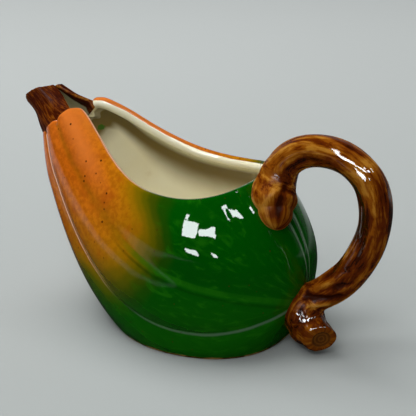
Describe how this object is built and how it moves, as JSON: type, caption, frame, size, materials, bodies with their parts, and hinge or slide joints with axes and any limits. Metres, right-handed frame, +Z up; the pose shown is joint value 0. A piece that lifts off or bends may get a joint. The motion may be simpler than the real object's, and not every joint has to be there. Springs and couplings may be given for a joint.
{
  "type": "gourd-shaped sauce boat",
  "caption": "Glazed ceramic sauce boat shaped like a ribbed gourd: open boat-shaped rim, open stem as pouring lip, flat foot, looped branch handle with a knot and a cut twig.",
  "frame": {"origin": "on the plane the foot stands on, in the gourd's plane of symmetry, under the open bowl", "axes": "+Z up; X runs from the pouring lip at -X to the handle at +X; the XZ plane is the gourd body's plane of symmetry, and the cut twig points to -Y"},
  "size_m": [0.2047, 0.1054, 0.1158],
  "materials": {
    "gourd_glaze": "gloss",
    "stem_glaze": "gloss",
    "branch_glaze": "gloss"
  },
  "bodies": {
    "root": {"gourd_body": "gourd_glaze", "stem_lip": "stem_glaze", "handle_root": "branch_glaze", "branch_handle": "branch_glaze", "branch_knot": "branch_glaze", "twig_stub": "branch_glaze"}
  },
  "joints": []
}
